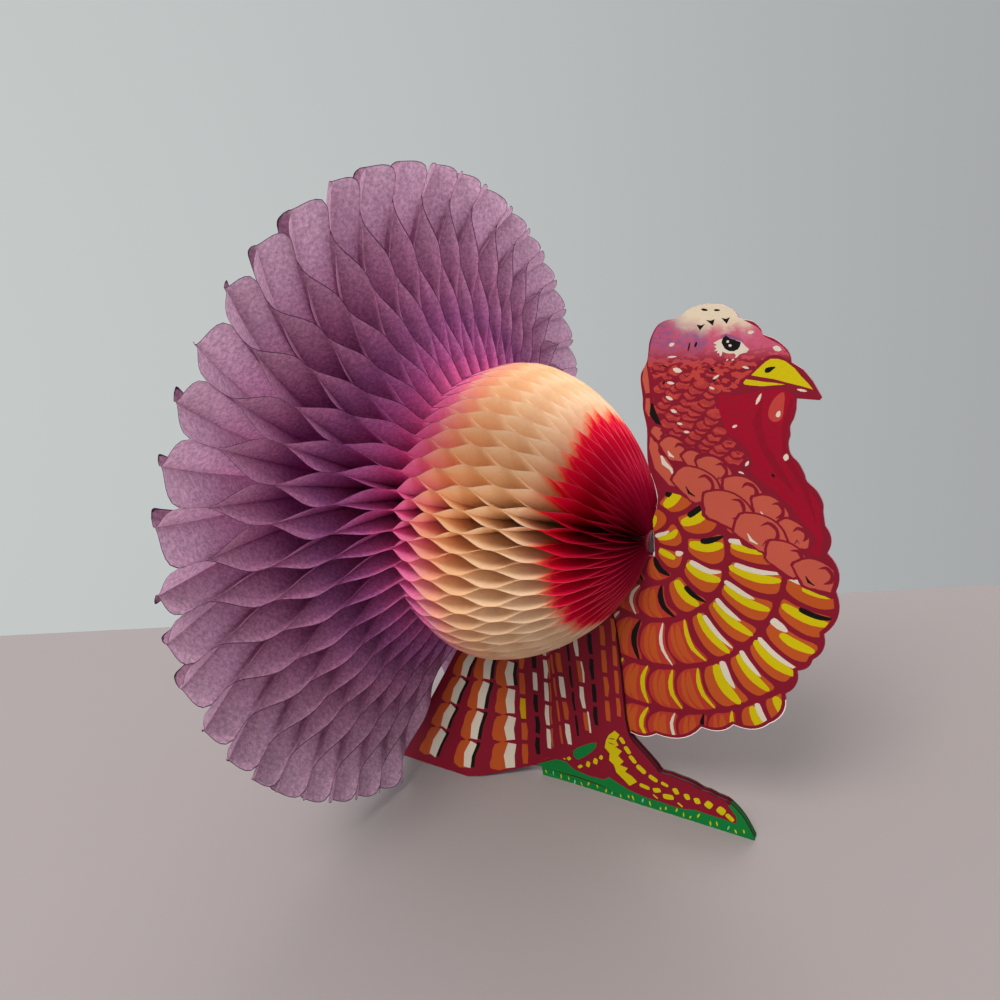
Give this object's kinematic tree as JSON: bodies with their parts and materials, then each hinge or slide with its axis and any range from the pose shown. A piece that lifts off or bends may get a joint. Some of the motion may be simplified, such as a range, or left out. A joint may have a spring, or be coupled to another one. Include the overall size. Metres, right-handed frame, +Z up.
{
  "type": "fold-out turkey centrepiece",
  "caption": "Fold-out turkey table centrepiece: printed card head, breast and legs with a honeycomb tissue body and fan tail that folds flat about its spine.",
  "frame": {"origin": "under the middle of the figure's outline, on the surface that it stands on", "axes": "+X towards the beak, +Z up, -Y the side seen in the usual view"},
  "size_m": [0.2224, 0.2998, 0.2966],
  "materials": {
    "printed_card": "printed card, satin",
    "tissue": "dyed tissue paper, matte and translucent",
    "core_paper": "dyed tissue edges pressed into a core, matte",
    "end_tab": "grey paper, matte"
  },
  "bodies": {
    "near_side": {"near_leg_card": "printed_card", "head_breast_card": "printed_card", "spine_core": "core_paper", "spine_end_tab": "end_tab", "tissue_leaf_01": "tissue"},
    "far_side": {"far_leg_card": "printed_card", "tissue_leaf_44": "tissue"},
    "leaf_02": {"tissue_leaf_02": "tissue"},
    "leaf_03": {"tissue_leaf_03": "tissue"},
    "leaf_04": {"tissue_leaf_04": "tissue"},
    "leaf_05": {"tissue_leaf_05": "tissue"},
    "leaf_06": {"tissue_leaf_06": "tissue"},
    "leaf_07": {"tissue_leaf_07": "tissue"},
    "leaf_08": {"tissue_leaf_08": "tissue"},
    "leaf_09": {"tissue_leaf_09": "tissue"},
    "leaf_10": {"tissue_leaf_10": "tissue"},
    "leaf_11": {"tissue_leaf_11": "tissue"},
    "leaf_12": {"tissue_leaf_12": "tissue"},
    "leaf_13": {"tissue_leaf_13": "tissue"},
    "leaf_14": {"tissue_leaf_14": "tissue"},
    "leaf_15": {"tissue_leaf_15": "tissue"},
    "leaf_16": {"tissue_leaf_16": "tissue"},
    "leaf_17": {"tissue_leaf_17": "tissue"},
    "leaf_18": {"tissue_leaf_18": "tissue"},
    "leaf_19": {"tissue_leaf_19": "tissue"},
    "leaf_20": {"tissue_leaf_20": "tissue"},
    "leaf_21": {"tissue_leaf_21": "tissue"},
    "leaf_22": {"tissue_leaf_22": "tissue"},
    "leaf_23": {"tissue_leaf_23": "tissue"},
    "leaf_24": {"tissue_leaf_24": "tissue"},
    "leaf_25": {"tissue_leaf_25": "tissue"},
    "leaf_26": {"tissue_leaf_26": "tissue"},
    "leaf_27": {"tissue_leaf_27": "tissue"},
    "leaf_28": {"tissue_leaf_28": "tissue"},
    "leaf_29": {"tissue_leaf_29": "tissue"},
    "leaf_30": {"tissue_leaf_30": "tissue"},
    "leaf_31": {"tissue_leaf_31": "tissue"},
    "leaf_32": {"tissue_leaf_32": "tissue"},
    "leaf_33": {"tissue_leaf_33": "tissue"},
    "leaf_34": {"tissue_leaf_34": "tissue"},
    "leaf_35": {"tissue_leaf_35": "tissue"},
    "leaf_36": {"tissue_leaf_36": "tissue"},
    "leaf_37": {"tissue_leaf_37": "tissue"},
    "leaf_38": {"tissue_leaf_38": "tissue"},
    "leaf_39": {"tissue_leaf_39": "tissue"},
    "leaf_40": {"tissue_leaf_40": "tissue"},
    "leaf_41": {"tissue_leaf_41": "tissue"},
    "leaf_42": {"tissue_leaf_42": "tissue"},
    "leaf_43": {"tissue_leaf_43": "tissue"}
  },
  "joints": [
    {"name": "tissue_fold", "type": "hinge", "parent": "near_side", "child": "far_side", "pos_m": [0.03843, 0, 0.13534], "axis": [0.9945, 0, -0.1045], "range_deg": [0, 322]},
    {"name": "leaf_02_turn", "type": "hinge", "parent": "near_side", "child": "leaf_02", "pos_m": [0.03843, 0, 0.13534], "axis": [0.9945, 0, -0.1045], "range_deg": [-0.5, 7.99]},
    {"name": "leaf_03_turn", "type": "hinge", "parent": "near_side", "child": "leaf_03", "pos_m": [0.03843, 0, 0.13534], "axis": [0.9945, 0, -0.1045], "range_deg": [-0.5, 15.48]},
    {"name": "leaf_04_turn", "type": "hinge", "parent": "near_side", "child": "leaf_04", "pos_m": [0.03843, 0, 0.13534], "axis": [0.9945, 0, -0.1045], "range_deg": [-0.5, 22.96]},
    {"name": "leaf_05_turn", "type": "hinge", "parent": "near_side", "child": "leaf_05", "pos_m": [0.03843, 0, 0.13534], "axis": [0.9945, 0, -0.1045], "range_deg": [-0.5, 30.45]},
    {"name": "leaf_06_turn", "type": "hinge", "parent": "near_side", "child": "leaf_06", "pos_m": [0.03843, 0, 0.13534], "axis": [0.9945, 0, -0.1045], "range_deg": [-0.5, 37.94]},
    {"name": "leaf_07_turn", "type": "hinge", "parent": "near_side", "child": "leaf_07", "pos_m": [0.03843, 0, 0.13534], "axis": [0.9945, 0, -0.1045], "range_deg": [-0.5, 45.43]},
    {"name": "leaf_08_turn", "type": "hinge", "parent": "near_side", "child": "leaf_08", "pos_m": [0.03843, 0, 0.13534], "axis": [0.9945, 0, -0.1045], "range_deg": [-0.5, 52.92]},
    {"name": "leaf_09_turn", "type": "hinge", "parent": "near_side", "child": "leaf_09", "pos_m": [0.03843, 0, 0.13534], "axis": [0.9945, 0, -0.1045], "range_deg": [-0.5, 60.41]},
    {"name": "leaf_10_turn", "type": "hinge", "parent": "near_side", "child": "leaf_10", "pos_m": [0.03843, 0, 0.13534], "axis": [0.9945, 0, -0.1045], "range_deg": [-0.5, 67.89]},
    {"name": "leaf_11_turn", "type": "hinge", "parent": "near_side", "child": "leaf_11", "pos_m": [0.03843, 0, 0.13534], "axis": [0.9945, 0, -0.1045], "range_deg": [-0.5, 75.38]},
    {"name": "leaf_12_turn", "type": "hinge", "parent": "near_side", "child": "leaf_12", "pos_m": [0.03843, 0, 0.13534], "axis": [0.9945, 0, -0.1045], "range_deg": [-0.5, 82.87]},
    {"name": "leaf_13_turn", "type": "hinge", "parent": "near_side", "child": "leaf_13", "pos_m": [0.03843, 0, 0.13534], "axis": [0.9945, 0, -0.1045], "range_deg": [-0.5, 90.36]},
    {"name": "leaf_14_turn", "type": "hinge", "parent": "near_side", "child": "leaf_14", "pos_m": [0.03843, 0, 0.13534], "axis": [0.9945, 0, -0.1045], "range_deg": [-0.5, 97.85]},
    {"name": "leaf_15_turn", "type": "hinge", "parent": "near_side", "child": "leaf_15", "pos_m": [0.03843, 0, 0.13534], "axis": [0.9945, 0, -0.1045], "range_deg": [-0.5, 105.34]},
    {"name": "leaf_16_turn", "type": "hinge", "parent": "near_side", "child": "leaf_16", "pos_m": [0.03843, 0, 0.13534], "axis": [0.9945, 0, -0.1045], "range_deg": [-0.5, 112.83]},
    {"name": "leaf_17_turn", "type": "hinge", "parent": "near_side", "child": "leaf_17", "pos_m": [0.03843, 0, 0.13534], "axis": [0.9945, 0, -0.1045], "range_deg": [-0.5, 120.31]},
    {"name": "leaf_18_turn", "type": "hinge", "parent": "near_side", "child": "leaf_18", "pos_m": [0.03843, 0, 0.13534], "axis": [0.9945, 0, -0.1045], "range_deg": [-0.5, 127.8]},
    {"name": "leaf_19_turn", "type": "hinge", "parent": "near_side", "child": "leaf_19", "pos_m": [0.03843, 0, 0.13534], "axis": [0.9945, 0, -0.1045], "range_deg": [-0.5, 135.29]},
    {"name": "leaf_20_turn", "type": "hinge", "parent": "near_side", "child": "leaf_20", "pos_m": [0.03843, 0, 0.13534], "axis": [0.9945, 0, -0.1045], "range_deg": [-0.5, 142.78]},
    {"name": "leaf_21_turn", "type": "hinge", "parent": "near_side", "child": "leaf_21", "pos_m": [0.03843, 0, 0.13534], "axis": [0.9945, 0, -0.1045], "range_deg": [-0.5, 150.27]},
    {"name": "leaf_22_turn", "type": "hinge", "parent": "near_side", "child": "leaf_22", "pos_m": [0.03843, 0, 0.13534], "axis": [0.9945, 0, -0.1045], "range_deg": [-0.5, 157.76]},
    {"name": "leaf_23_turn", "type": "hinge", "parent": "near_side", "child": "leaf_23", "pos_m": [0.03843, 0, 0.13534], "axis": [0.9945, 0, -0.1045], "range_deg": [-0.5, 165.24]},
    {"name": "leaf_24_turn", "type": "hinge", "parent": "near_side", "child": "leaf_24", "pos_m": [0.03843, 0, 0.13534], "axis": [0.9945, 0, -0.1045], "range_deg": [-0.5, 172.73]},
    {"name": "leaf_25_turn", "type": "hinge", "parent": "near_side", "child": "leaf_25", "pos_m": [0.03843, 0, 0.13534], "axis": [0.9945, 0, -0.1045], "range_deg": [-0.5, 180.22]},
    {"name": "leaf_26_turn", "type": "hinge", "parent": "near_side", "child": "leaf_26", "pos_m": [0.03843, 0, 0.13534], "axis": [0.9945, 0, -0.1045], "range_deg": [-0.5, 187.71]},
    {"name": "leaf_27_turn", "type": "hinge", "parent": "near_side", "child": "leaf_27", "pos_m": [0.03843, 0, 0.13534], "axis": [0.9945, 0, -0.1045], "range_deg": [-0.5, 195.2]},
    {"name": "leaf_28_turn", "type": "hinge", "parent": "near_side", "child": "leaf_28", "pos_m": [0.03843, 0, 0.13534], "axis": [0.9945, 0, -0.1045], "range_deg": [-0.5, 202.69]},
    {"name": "leaf_29_turn", "type": "hinge", "parent": "near_side", "child": "leaf_29", "pos_m": [0.03843, 0, 0.13534], "axis": [0.9945, 0, -0.1045], "range_deg": [-0.5, 210.17]},
    {"name": "leaf_30_turn", "type": "hinge", "parent": "near_side", "child": "leaf_30", "pos_m": [0.03843, 0, 0.13534], "axis": [0.9945, 0, -0.1045], "range_deg": [-0.5, 217.66]},
    {"name": "leaf_31_turn", "type": "hinge", "parent": "near_side", "child": "leaf_31", "pos_m": [0.03843, 0, 0.13534], "axis": [0.9945, 0, -0.1045], "range_deg": [-0.5, 225.15]},
    {"name": "leaf_32_turn", "type": "hinge", "parent": "near_side", "child": "leaf_32", "pos_m": [0.03843, 0, 0.13534], "axis": [0.9945, 0, -0.1045], "range_deg": [-0.5, 232.64]},
    {"name": "leaf_33_turn", "type": "hinge", "parent": "near_side", "child": "leaf_33", "pos_m": [0.03843, 0, 0.13534], "axis": [0.9945, 0, -0.1045], "range_deg": [-0.5, 240.13]},
    {"name": "leaf_34_turn", "type": "hinge", "parent": "near_side", "child": "leaf_34", "pos_m": [0.03843, 0, 0.13534], "axis": [0.9945, 0, -0.1045], "range_deg": [-0.5, 247.62]},
    {"name": "leaf_35_turn", "type": "hinge", "parent": "near_side", "child": "leaf_35", "pos_m": [0.03843, 0, 0.13534], "axis": [0.9945, 0, -0.1045], "range_deg": [-0.5, 255.1]},
    {"name": "leaf_36_turn", "type": "hinge", "parent": "near_side", "child": "leaf_36", "pos_m": [0.03843, 0, 0.13534], "axis": [0.9945, 0, -0.1045], "range_deg": [-0.5, 262.59]},
    {"name": "leaf_37_turn", "type": "hinge", "parent": "near_side", "child": "leaf_37", "pos_m": [0.03843, 0, 0.13534], "axis": [0.9945, 0, -0.1045], "range_deg": [-0.5, 270.08]},
    {"name": "leaf_38_turn", "type": "hinge", "parent": "near_side", "child": "leaf_38", "pos_m": [0.03843, 0, 0.13534], "axis": [0.9945, 0, -0.1045], "range_deg": [-0.5, 277.57]},
    {"name": "leaf_39_turn", "type": "hinge", "parent": "near_side", "child": "leaf_39", "pos_m": [0.03843, 0, 0.13534], "axis": [0.9945, 0, -0.1045], "range_deg": [-0.5, 285.06]},
    {"name": "leaf_40_turn", "type": "hinge", "parent": "near_side", "child": "leaf_40", "pos_m": [0.03843, 0, 0.13534], "axis": [0.9945, 0, -0.1045], "range_deg": [-0.5, 292.55]},
    {"name": "leaf_41_turn", "type": "hinge", "parent": "near_side", "child": "leaf_41", "pos_m": [0.03843, 0, 0.13534], "axis": [0.9945, 0, -0.1045], "range_deg": [-0.5, 300.04]},
    {"name": "leaf_42_turn", "type": "hinge", "parent": "near_side", "child": "leaf_42", "pos_m": [0.03843, 0, 0.13534], "axis": [0.9945, 0, -0.1045], "range_deg": [-0.5, 307.52]},
    {"name": "leaf_43_turn", "type": "hinge", "parent": "near_side", "child": "leaf_43", "pos_m": [0.03843, 0, 0.13534], "axis": [0.9945, 0, -0.1045], "range_deg": [-0.5, 315.01]}
  ],
  "couplings": [
    {"joint": "leaf_02_turn", "follows": "tissue_fold", "ratio": 0.023256},
    {"joint": "leaf_03_turn", "follows": "tissue_fold", "ratio": 0.046512},
    {"joint": "leaf_04_turn", "follows": "tissue_fold", "ratio": 0.069767},
    {"joint": "leaf_05_turn", "follows": "tissue_fold", "ratio": 0.093023},
    {"joint": "leaf_06_turn", "follows": "tissue_fold", "ratio": 0.11628},
    {"joint": "leaf_07_turn", "follows": "tissue_fold", "ratio": 0.13953},
    {"joint": "leaf_08_turn", "follows": "tissue_fold", "ratio": 0.16279},
    {"joint": "leaf_09_turn", "follows": "tissue_fold", "ratio": 0.18605},
    {"joint": "leaf_10_turn", "follows": "tissue_fold", "ratio": 0.2093},
    {"joint": "leaf_11_turn", "follows": "tissue_fold", "ratio": 0.23256},
    {"joint": "leaf_12_turn", "follows": "tissue_fold", "ratio": 0.25581},
    {"joint": "leaf_13_turn", "follows": "tissue_fold", "ratio": 0.27907},
    {"joint": "leaf_14_turn", "follows": "tissue_fold", "ratio": 0.30233},
    {"joint": "leaf_15_turn", "follows": "tissue_fold", "ratio": 0.32558},
    {"joint": "leaf_16_turn", "follows": "tissue_fold", "ratio": 0.34884},
    {"joint": "leaf_17_turn", "follows": "tissue_fold", "ratio": 0.37209},
    {"joint": "leaf_18_turn", "follows": "tissue_fold", "ratio": 0.39535},
    {"joint": "leaf_19_turn", "follows": "tissue_fold", "ratio": 0.41861},
    {"joint": "leaf_20_turn", "follows": "tissue_fold", "ratio": 0.44186},
    {"joint": "leaf_21_turn", "follows": "tissue_fold", "ratio": 0.46512},
    {"joint": "leaf_22_turn", "follows": "tissue_fold", "ratio": 0.48837},
    {"joint": "leaf_23_turn", "follows": "tissue_fold", "ratio": 0.51163},
    {"joint": "leaf_24_turn", "follows": "tissue_fold", "ratio": 0.53488},
    {"joint": "leaf_25_turn", "follows": "tissue_fold", "ratio": 0.55814},
    {"joint": "leaf_26_turn", "follows": "tissue_fold", "ratio": 0.58139},
    {"joint": "leaf_27_turn", "follows": "tissue_fold", "ratio": 0.60465},
    {"joint": "leaf_28_turn", "follows": "tissue_fold", "ratio": 0.62791},
    {"joint": "leaf_29_turn", "follows": "tissue_fold", "ratio": 0.65116},
    {"joint": "leaf_30_turn", "follows": "tissue_fold", "ratio": 0.67442},
    {"joint": "leaf_31_turn", "follows": "tissue_fold", "ratio": 0.69767},
    {"joint": "leaf_32_turn", "follows": "tissue_fold", "ratio": 0.72093},
    {"joint": "leaf_33_turn", "follows": "tissue_fold", "ratio": 0.74419},
    {"joint": "leaf_34_turn", "follows": "tissue_fold", "ratio": 0.76744},
    {"joint": "leaf_35_turn", "follows": "tissue_fold", "ratio": 0.7907},
    {"joint": "leaf_36_turn", "follows": "tissue_fold", "ratio": 0.81395},
    {"joint": "leaf_37_turn", "follows": "tissue_fold", "ratio": 0.83721},
    {"joint": "leaf_38_turn", "follows": "tissue_fold", "ratio": 0.86047},
    {"joint": "leaf_39_turn", "follows": "tissue_fold", "ratio": 0.88372},
    {"joint": "leaf_40_turn", "follows": "tissue_fold", "ratio": 0.90698},
    {"joint": "leaf_41_turn", "follows": "tissue_fold", "ratio": 0.93023},
    {"joint": "leaf_42_turn", "follows": "tissue_fold", "ratio": 0.95349},
    {"joint": "leaf_43_turn", "follows": "tissue_fold", "ratio": 0.97674}
  ]
}
